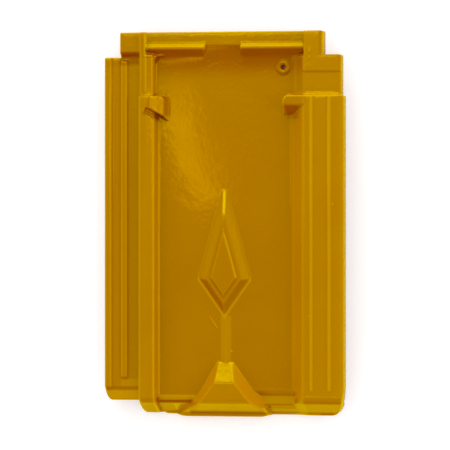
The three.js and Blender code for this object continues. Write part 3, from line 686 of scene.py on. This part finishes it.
def keptCells(linesX, linesY):
    x = ((linesX[1:] + linesX[:-1]) / 2)[:, None]
    y = ((linesY[1:] + linesY[:-1]) / 2)[None, :]
    out = (x < tile["innerRibOuter"]) & (y > tile["leftHeadCut"])
    out |= (x > tile["blockRight"]) & (y > tile["rightHeadCut"])
    out |= (x > tile["headRight"]) & (y > tile["stepFoot"])
    out |= (x < tile["rollLeft"]) & (y < tile["flankFoot"])
    out |= (np.abs(x - nail["x"]) < nail["hole"]) & (np.abs(y - nail["y"]) < nail["hole"])
    return ~out


def gridSide(linesX, linesY):
    # one side of the tile as points in plan and triangles, with its border loops
    kept = keptCells(linesX, linesY)
    number = np.arange(len(linesX) * len(linesY)).reshape(len(linesX), len(linesY))
    corners = [number[:-1, :-1], number[1:, :-1], number[1:, 1:], number[:-1, 1:]]
    quads = np.stack([corner[kept] for corner in corners], axis=1)
    used, compact = np.unique(quads, return_inverse=True)
    quads = compact.reshape(quads.shape)
    gridX, gridY = np.meshgrid(linesX, linesY, indexing="ij")
    x, y = shapedPlan(gridX.ravel()[used], gridY.ravel()[used])
    following = {}
    edges = set()
    for side in range(4):
        edges.update(zip(quads[:, side].tolist(), quads[:, (side + 1) % 4].tolist()))
    for start, end in edges:
        if (end, start) not in edges:
            following[start] = end
    loops = []
    while following:
        start = min(following)
        loop = [start]
        point = following.pop(start)
        while point != start:
            loop.append(point)
            point = following.pop(point)
        loops.append(loop)
    loops.sort(key=len, reverse=True)
    return x, y, quads, loops


def edgeDistance(x, y, loops, reach):
    # distance to the border, counted only as far as the roundings reach
    distance = np.full(x.shape, reach)
    for loop in loops:
        for start, end in zip(loop, loop[1:] + loop[:1]):
            startX, startY, endX, endY = x[start], y[start], x[end], y[end]
            near = within(x, min(startX, endX) - reach, max(startX, endX) + reach)
            near &= within(y, min(startY, endY) - reach, max(startY, endY) + reach)
            spanX, spanY = endX - startX, endY - startY
            long = max(spanX ** 2 + spanY ** 2, 1e-12)
            share = np.clip(((x[near] - startX) * spanX + (y[near] - startY) * spanY) / long, 0, 1)
            away = np.hypot(x[near] - startX - share * spanX, y[near] - startY - share * spanY)
            distance[near] = np.minimum(distance[near], away)
    return distance


def edgeDrop(distance, radius):
    inward = np.clip(radius - distance, 0, radius)
    return radius - np.sqrt(np.maximum(radius ** 2 - inward ** 2, 0))


def diagonals(quads, levels):
    # each square is split along the diagonal that bends less
    a, b, c, d = (quads[:, side] for side in range(4))
    firstBend = np.abs(levels[a] + levels[c] - levels[b] - levels[d])
    slopeOne = np.abs(levels[a] - levels[c])
    slopeTwo = np.abs(levels[b] - levels[d])
    useFirst = (slopeOne <= slopeTwo) | (firstBend < 1e-6)
    one = np.where(useFirst[:, None], np.stack([a, b, c], 1), np.stack([a, b, d], 1))
    two = np.where(useFirst[:, None], np.stack([a, c, d], 1), np.stack([b, c, d], 1))
    return np.concatenate([one, two])


def joinedLoops(topLoop, topPlan, underLoop, underPlan):
    # strip of triangles between the border of the top and the border of the underside
    start = topPlan[topLoop[0]]
    nearest = min(range(len(underLoop)), key=lambda place: math.dist(underPlan[underLoop[place]], start))
    underLoop = underLoop[nearest:] + underLoop[:nearest]
    faces = []
    i, j = 0, 0
    while i < len(topLoop) or j < len(underLoop):
        here, below = topLoop[i % len(topLoop)], underLoop[j % len(underLoop)]
        nextHere, nextBelow = topLoop[(i + 1) % len(topLoop)], underLoop[(j + 1) % len(underLoop)]
        moveTop = math.dist(topPlan[nextHere], underPlan[below])
        moveUnder = math.dist(topPlan[here], underPlan[nextBelow])
        if j >= len(underLoop) or (i < len(topLoop) and moveTop <= moveUnder):
            faces.append((("top", nextHere), ("top", here), ("under", below)))
            i += 1
        else:
            faces.append((("top", here), ("under", below), ("under", nextBelow)))
            j += 1
    return faces


# Slow waves of a few hundredths of a millimetre, as a pressed and fired face has
waves = {"height": 0.05, "lengths": (61, 83, 117), "turns": (0.4, 2.1, 3.9)}


def waveLevel(x, y):
    level = np.zeros_like(x)
    for number, (long, turn) in enumerate(zip(waves["lengths"], waves["turns"])):
        heading = 0.7 + 1.9 * number
        phase = (x * math.cos(heading) + y * math.sin(heading)) * 2 * math.pi / long
        level += waves["height"] * np.sin(phase + turn)
    return level


# How deep the glaze colour is painted, with painted shade and light in it: above 0 in hollows, darker as
# gathered glaze and as painted shade, below 0 on edges and crests, lighter as thin glaze and as painted
# highlight
poolAndPaintedLight = {
    "reach": 1.5, "scale": 1.1, "steep": 0.75, "steepFrom": 0.3, "steepRun": 0.6, "steepLoss": 0.6,
    "steepFlank": 0.5, "beadCrest": 0.8, "markCrest": 0.6, "edgeMiddle": 0.9, "edgeHalf": 1.6,
    "edge": 0.8, "edgeRight": -0.5, "rightFrom": 99, "skirtFrom": 122, "flankTo": -89,
}
# Where the colour is painted darker or, below 0, lighter: mostly painted shade under ribs and stops and in
# creases, and painted highlight on faces and crests that catch the light, partly as gathered and thin glaze.
# Columns: left, right, foot, head and how much, then how softly across, at the foot and at the head where
# that isn't 1 mm
poolAndPaintedLightPlaces = {
    "pan below the weather rib": (-70.5, 83, 157, 179.6, 1, 3, 24, 1.5),
    "foot of the rib, left": (-79, -20, 179.2, 182.4, 0.6, 1, 0.8, 0.8),
    "foot of the rib, right": (18, 84, 179.2, 182.4, 0.6, 1, 0.8, 0.8),
    "end of the roll": (-80.5, -67, 171.5, 179.6, 1, 1.5, 1.5, 1.5),
    "notch in the rib": (-19, 17.6, 179.6, 184.4, 0.9),
    "pocket at the flank's head": (-110.5, -90, 165, 178, 1, 2, 5),
    "below the right stop": (66, 80, 108, 121.8, 0.55, 1.2, 1.5, 1.2),
    "step of the roll": (-88, -60, 130.5, 134.6, 0.6, 1.5, 0.8, 0.8),
    "cover slope past the step": (76.5, 83.5, 136, 171, 0.45, 2),
    "edge of the inner rib": (-102.8, -100, -155.5, 163, -0.1, 1.2),
    "below the left stop": (-79, -61, 117, 131, 0.45, 1.5, 6),
    "roll past the step": (-79.2, -73.5, 136, 171, 0.2),
    "ramp of the ornament": (-8, 11, -162, -143, -0.25, 2),
    "inner side of the left stop": (-61.5, -57, 112, 132, 0.6),
    "stem": (-3.6, 7.6, -141, -94, -0.45),
    "flat at the flank's foot": (-109, -88.5, -167, -159.6, -0.4),
    "nose of the roll": (-88, -71, -197, -184.5, 0.5),
    "side of the roll": (-71.6, -67.2, -175, 131, -0.5),
    "cover rib": (84, 128, -181, 210, -0.28, 2),
    "roll": (-86, -71, -210, 171, -0.25, 2),
    "flank": (-126, -89, -170, 163, -0.2, 2),
    "head of the flank's bevel": (-125, -88.5, -170, -167.6, 0.7, 1, 1.2, 1.2),
    "flank's bevel": (-125, -88.5, -181, -171.2, -1),
    "groove across the foot": (-68, -35, -184, -180.3, 0.8, 2),
    "corner of the left wing": (-54, -37, -195, -184.6, -1.2, 2, 1.5),
    "bead across the foot": (-68, -30, -180.4, -175.4, -0.9, 2, 1.2, 1.2),
    "crest along the roll": (-81.5, -79.3, 136, 200, -0.6),
    "ridge of the lozenge": (-1.4, 2.3, 9.5, 35.5, -1, 0.8, 1.5),
    "head of the ledge": (32, 74, -174.4, -170.6, -0.15, 2, 1.2, 1.2),
    "ledge": (32, 74, -184, -175.6, -0.8, 2),
    "below the ledge": (44.5, 74, -189.5, -185.2, 1, 2, 1.5, 1.5),
}


def poolAndPaintedLightZones(x, y):
    # painted shade in the slanting strip below the left stop
    amount = 1.5 * leftStopFoot(x, y)
    for left, right, low, high, most, *soft in poolAndPaintedLightPlaces.values():
        across, atFoot, atHead = (*soft, 1.0, 1.0, 1.0)[:3]
        share = between(x, left, right, across)
        amount += most * share * eased((y - low) / atFoot + 0.5) * eased((high - y) / atHead + 0.5)
    # a painted highlight line along the outline of the lozenge, clearest at its foot, and painted shade on
    # its foot facets
    headIn, footIn = lozengeInside(x, y)
    rim = 0.5 * ridge(headIn, 0.0, 1.8) * (footIn > 0) * (y < lozenge["bluntTip"])
    rim += 1.1 * ridge(footIn, -0.4, 2.3) * (headIn > 0)
    bend = headIn / lozenge["headBevel"] - footIn / lozenge["footBevel"]
    facets = eased((footIn - 1.4) / 1.2) * eased((lozenge["footBevel"] + 0.4 - footIn) / 1.6)
    facets = facets * eased(bend / 0.08)
    # painted lighter on the ornament's wings and face, as thin glaze and as painted highlight
    share = wingShare(x, y)
    wings = eased(share / 0.15) * eased((1.04 - share) / 0.1)
    wings = wings * (y < ornament["headLine"]) * eased((y - ornament["faceFoot"]) / 2)
    face = eased((share - 0.96) / 0.1) * within(y, ornament["footLine"], ornament["faceHead"] - 1)
    return amount - rim + 0.2 * facets - 0.5 * wings - 0.3 * face


def paintedGlazeDepthAndLight(x, y, plain, edge):
    reach = poolAndPaintedLight["reach"]
    right, left, head, low = (topLevel(x + stepX, y + stepY) for stepX, stepY in (
        (reach, 0), (-reach, 0), (0, reach), (0, -reach)))
    gatheredAndLit = np.clip(((right + left + head + low) / 4 - plain) / poolAndPaintedLight["scale"], -1, 1)
    # steep sides are painted lighter, as glaze running off and as painted light, but not those that face the
    # foot, which keep their shade
    across, up = (right - left) / (2 * reach), (head - low) / (2 * reach)
    steep = eased((np.hypot(across, up) - poolAndPaintedLight["steepFrom"]) / poolAndPaintedLight["steepRun"])
    steep = steep * (1 - eased(up / 0.5)) * (x < poolAndPaintedLight["skirtFrom"])
    steep = steep * np.where(x < poolAndPaintedLight["flankTo"], poolAndPaintedLight["steepFlank"], 1.0)
    gatheredAndLit = gatheredAndLit * (1 - poolAndPaintedLight["steepLoss"] * steep) - poolAndPaintedLight["steep"] * steep
    # crests of marks, edges near the border and bead crests are painted lighter, as thin glaze and as painted
    # highlight
    gatheredAndLit = gatheredAndLit - poolAndPaintedLight["markCrest"] * np.clip(markLevel(x, y) / poolAndPaintedLight["markCrest"], 0, 1)
    edgeShare = np.where(x > poolAndPaintedLight["rightFrom"], poolAndPaintedLight["edgeRight"], poolAndPaintedLight["edge"])
    gatheredAndLit = gatheredAndLit - edgeShare * ridge(edge, poolAndPaintedLight["edgeMiddle"], poolAndPaintedLight["edgeHalf"]) + poolAndPaintedLightZones(x, y)
    gatheredAndLit = gatheredAndLit - poolAndPaintedLight["beadCrest"] * beadLevel(x, y) / beads["rise"]
    return np.clip(gatheredAndLit, -1, 1)


def tilePiece():
    topX, topY, topQuads, topLoops = gridSide(
        meshLines(fixedX, topFineX, 4.5, 0.55),
        meshLines(fixedY, topFineY, 5.0, 0.55),
    )
    underX, underY, underQuads, underLoops = gridSide(
        meshLines(fixedX, underFineX, 7.0, 0.9),
        meshLines(fixedY, underFineY, 9.0, 0.9),
    )
    topEdge = edgeDistance(topX, topY, topLoops, 4.0)
    underEdge = edgeDistance(underX, underY, underLoops, 4.0)
    topPlain = topLevel(topX, topY)
    topZ = topPlain + waveLevel(topX, topY) - edgeDrop(topEdge, tile["topRounding"])
    underZ = underLevel(underX, underY) + edgeDrop(underEdge, tile["underRounding"])
    # along thin edges the top stays above the underside
    topZ = np.maximum(topZ, underLevel(topX, topY) + tile["thinnest"])
    underZ = np.minimum(underZ, topLevel(underX, underY) - tile["thinnest"])
    underZ = np.maximum(underZ, under["rest"])

    topTriangles = diagonals(topQuads, topZ)
    underTriangles = diagonals(underQuads, underZ)[:, ::-1] + len(topX)
    offset = {"top": 0, "under": len(topX)}
    topPlan = list(zip(topX.tolist(), topY.tolist()))
    underPlan = list(zip(underX.tolist(), underY.tolist()))
    walls = []
    for topLoop, underLoop in zip(topLoops, underLoops):
        strip = joinedLoops(topLoop, topPlan, underLoop, underPlan)
        walls.extend([offset[side] + point for side, point in face] for face in strip)
    points = np.stack([
        np.concatenate([topX, underX]),
        np.concatenate([topY, underY]),
        np.concatenate([topZ, underZ]) + tile["panTop"],
    ], axis=1) / 1000
    triangles = np.concatenate([topTriangles, underTriangles, np.array(walls)])
    mesh = bpy.data.meshes.new("glazed_tile")
    mesh.from_pydata(points.tolist(), [], triangles.tolist())
    mesh.validate()
    mesh.shade_smooth()
    bare = np.zeros(len(underX))
    # the stored glaze depth holds painted shade and painted highlights as well as gathered and thin glaze
    for name, values in (
        ("glazeDepthAndPaintedLight", paintedGlazeDepthAndLight(topX, topY, topPlain, topEdge)),
        ("glazeCover", np.ones(len(topX))),
    ):
        layer = mesh.attributes.new(name, "FLOAT", "POINT")
        layer.data.foreach_set("value", np.concatenate([values, bare]).astype(np.float32))
    print("tile mesh:", len(points), "points", len(triangles), "triangles")
    return placed("glazed_tile", mesh)


# Finish: amber glaze over terracotta
glaze = {
    # deep is also the colour of painted shade, thin that of painted highlights
    "amber": (0.405, 0.114, 0.001, 1), "thin": (0.57, 0.240, 0.002, 1), "deep": (0.30, 0.020, 0.0003, 1),
    "clay": (0.42, 0.17, 0.085, 1), "darkClay": (0.30, 0.105, 0.05, 1),
    "ior": 2, "roughness": 0.175, "clayRoughness": 0.85,
    "coatTint": (1, 1, 0, 1), "coatIor": 1, "coatRoughness": 0.1,
    "cloudScale": 16, "cloudDepth": 0.10, "speckleScale": 900, "speckleDepth": 0.05,
    "edgeScale": 60, "grainScale": 220, "grainHeight": 4, "peelScale": 240,
    "swellScale": 55, "swell": 2.4, "bump": 0.32, "bumpDistance": 0.0005,
}


def feed(tree, node, inputs):
    # each input is either linked or set
    for key, value in inputs.items():
        if isinstance(value, bpy.types.NodeSocket):
            tree.links.new(value, node.inputs[key])
        else:
            node.inputs[key].default_value = value


def linked(tree, kind, inputs=None, **settings):
    node = tree.nodes.new("ShaderNode" + kind)
    for key, value in settings.items():
        setattr(node, key, value)
    feed(tree, node, inputs or {})
    return node


def mathNode(tree, operation, first, second=0.0, third=0.0):
    return linked(tree, "Math", {0: first, 1: second, 2: third}, operation=operation).outputs[0]


def mixedColour(tree, amount, first, second):
    return linked(tree, "Mix", {0: amount, 6: first, 7: second}, data_type="RGBA").outputs[2]


def mixedValue(tree, amount, first, second):
    return linked(tree, "Mix", {0: amount, 2: first, 3: second}).outputs[0]


def stretched(tree, value, low, high, first, last):
    return linked(tree, "MapRange", {0: value, 1: low, 2: high, 3: first, 4: last}).outputs[0]


def noise(tree, place, scale, detail, roughness=0.5):
    return linked(tree, "TexNoise", {
        "Vector": place, "Scale": scale, "Detail": detail, "Roughness": roughness}).outputs["Fac"]


def storedValue(tree, name):
    return linked(tree, "Attribute", attribute_name=name).outputs["Fac"]


def amberGlaze():
    material = bpy.data.materials.new("amber glaze over clay")
    material.use_nodes = True
    tree = material.node_tree
    place = linked(tree, "TexCoord").outputs["Object"]
    # the glaze ends in an uneven edge on the sides, over bare clay
    edge = mathNode(tree, "MULTIPLY_ADD", noise(tree, place, glaze["edgeScale"], 4.0), 0.5, -0.25)
    cover = mathNode(tree, "ADD", storedValue(tree, "glazeCover"), edge)
    onGlaze = stretched(tree, cover, 0.27, 0.31, 0.0, 1.0)
    # colour: darker where the glaze gathers and where shade is painted, lighter where it is thin and where
    # highlights are painted, with soft clouds
    clouds = noise(tree, place, glaze["cloudScale"], 3.0)
    depthAndLight = storedValue(tree, "glazeDepthAndPaintedLight")
    for spread, amount in (
        (clouds, glaze["cloudDepth"]),
        (noise(tree, place, glaze["speckleScale"], 2.0), glaze["speckleDepth"]),
    ):
        depthAndLight = mathNode(tree, "ADD", depthAndLight, stretched(tree, spread, 0.3, 0.7, -amount, amount))
    deepAndShadedPart = stretched(tree, depthAndLight, 0.0, 1.0, 0.0, 1.0)
    thinAndLitPart = stretched(tree, depthAndLight, 0.0, -1.0, 0.0, 0.9)
    glazeColour = mixedColour(tree, deepAndShadedPart, glaze["amber"], glaze["deep"])
    glazeColour = mixedColour(tree, thinAndLitPart, glazeColour, glaze["thin"])
    grain = noise(tree, place, glaze["grainScale"], 6.0, 0.7)
    clayColour = mixedColour(tree, grain, glaze["darkClay"], glaze["clay"])
    # gloss: a little rougher in clouds, matt on bare clay
    sheen = stretched(tree, clouds, 0.3, 0.7, glaze["roughness"] - 0.03, glaze["roughness"] + 0.05)
    # bump: orange peel and slow waves in the glaze, grain on the clay
    peel = noise(tree, place, glaze["peelScale"], 2.0)
    swell = noise(tree, place, glaze["swellScale"], 2.0)
    glazeHeight = mathNode(tree, "MULTIPLY_ADD", swell, glaze["swell"], peel)
    clayHeight = mathNode(tree, "MULTIPLY", grain, glaze["grainHeight"])
    bump = linked(tree, "Bump", {
        "Height": mixedValue(tree, onGlaze, clayHeight, glazeHeight),
        "Strength": glaze["bump"], "Distance": glaze["bumpDistance"]})
    feed(tree, tree.nodes["Principled BSDF"], {
        "Base Color": mixedColour(tree, onGlaze, clayColour, glazeColour),
        "Roughness": mixedValue(tree, onGlaze, glaze["clayRoughness"], sheen),
        "IOR": glaze["ior"],
        "Coat Weight": onGlaze,
        "Coat Tint": glaze["coatTint"],
        "Coat IOR": glaze["coatIor"],
        "Coat Roughness": glaze["coatRoughness"],
        "Normal": bump.outputs["Normal"],
    })
    return material


glazedTile = tilePiece()
glazedTile.data.materials.append(amberGlaze())
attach(glazedTile, "root")
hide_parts("roof_tile")
print("glaze done")


# Floor, light and camera
studio = {
    "floorSize": 6, "floorColour": (0.93, 0.93, 0.93, 1), "floorGlow": 0.3, "glowFrom": (0.092, 0.166),
    "world": (0.72, 0.72, 0.72, 1), "worldAtFoot": (0.36, 0.36, 0.36, 1),
    "target": (0.0009, -0.0007, 0.026), "slant": 12, "distance": 4, "lens": 311.4,
}


def floorPiece():
    # it glows a little beyond the tile, so that it stays pale there
    half = studio["floorSize"] / 2
    mesh = bpy.data.meshes.new("floor")
    corners = [(-half, -half, 0), (half, -half, 0), (half, half, 0), (-half, half, 0)]
    mesh.from_pydata(corners, [], [(0, 1, 2, 3)])
    material = bpy.data.materials.new("pale floor")
    material.use_nodes = True
    tree = material.node_tree
    place = linked(tree, "SeparateXYZ", {
        0: linked(tree, "TexCoord").outputs["Object"]})
    outside = [
        mathNode(tree, "GREATER_THAN", mathNode(tree, "ABSOLUTE", place.outputs[axis]), reach)
        for axis, reach in enumerate(studio["glowFrom"])
    ]
    away = mathNode(tree, "MAXIMUM", *outside)
    feed(tree, tree.nodes["Principled BSDF"], {
        "Base Color": studio["floorColour"], "Roughness": 0.9, "Specular IOR Level": 0.1,
        "Emission Color": (1, 1, 1, 1),
        "Emission Strength": mathNode(tree, "MULTIPLY", away, studio["floorGlow"]),
    })
    mesh.materials.append(material)
    return placed("floor", mesh)


floorPiece()


def softbox(
    name, place, target, width, height, power, tint=(1, 1, 1), turn=0, glossOnly=False, matteOnly=False):
    light = bpy.data.lights.new(name, "AREA")
    light.shape = "RECTANGLE"
    light.size = width
    light.size_y = height
    light.energy = power
    light.color = tint
    lamp = placed(name, light)
    lamp.location = place
    aim = (Vector(target) - Vector(place)).to_track_quat("-Z", "Y")
    lamp.rotation_euler = (aim @ Quaternion((0, 0, 1), math.radians(turn))).to_euler()
    lamp.visible_diffuse = not glossOnly
    lamp.visible_glossy = not matteOnly
    return lamp


softbox("left softbox", (-2.3, 0, 1.0), (0, 0, 0), width=2.4, height=1.2, power=8, matteOnly=True)
softbox("right softbox", (2.3, 0, 1.0), (0, 0, 0), width=2.4, height=1.2, power=9, matteOnly=True)
softbox("right window", (2.3, 0, 1.1), (0, 0, 0), width=2.2, height=1.1, power=5)
softbox(
    "head window", (0, 2.2, 0.8), (0, 0, 0.02), width=2.6, height=1.6, power=27.5, tint=(0.97, 1, 1))
softbox("foot fill", (0, -2.2, 0.8), (0, 0, 0.02), width=2.6, height=1.2, power=17, matteOnly=True)
softbox(
    "ridge sheen", (-0.5, 0.76, 2.25), (0, 0.02, 0.03), width=0.45, height=0.45, power=2.2,
    tint=(0.85, 1, 1), glossOnly=True)
softbox(
    "pan sheen", (-0.087, 0.0846, 0.236), (-0.040, 0.0846, 0.026), width=0.13, height=0.026, power=0.022,
    tint=(1, 0.62, 0.3), turn=20, glossOnly=True)


def studioWorld():
    # even all round, darker low down at the foot side
    world = bpy.data.worlds.new("studio")
    world.use_nodes = True
    tree = world.node_tree
    heading = linked(tree, "TexCoord").outputs["Generated"]
    parts = linked(tree, "SeparateXYZ", {0: heading})
    amount = stretched(tree, parts.outputs[1], -0.25, -0.8, 0.0, 1.0)
    colour = mixedColour(tree, amount, studio["world"], studio["worldAtFoot"])
    feed(tree, tree.nodes["Background"], {"Color": colour})
    return world


def slantedCamera():
    # a long lens far above the tile, slanted to its right
    data = bpy.data.cameras.new("camera")
    data.sensor_width = 36
    data.lens = studio["lens"]
    data.clip_end = 50
    camera = placed("camera", data)
    slant = math.radians(studio["slant"])
    away = Vector((math.sin(slant), 0, math.cos(slant)))
    camera.location = Vector(studio["target"]) + studio["distance"] * away
    camera.rotation_euler = (0, slant, 0)
    return camera


bpy.context.scene.world = studioWorld()
bpy.context.scene.view_settings.view_transform = "Standard"
bpy.context.scene.camera = slantedCamera()
print("stage, lights and camera done")
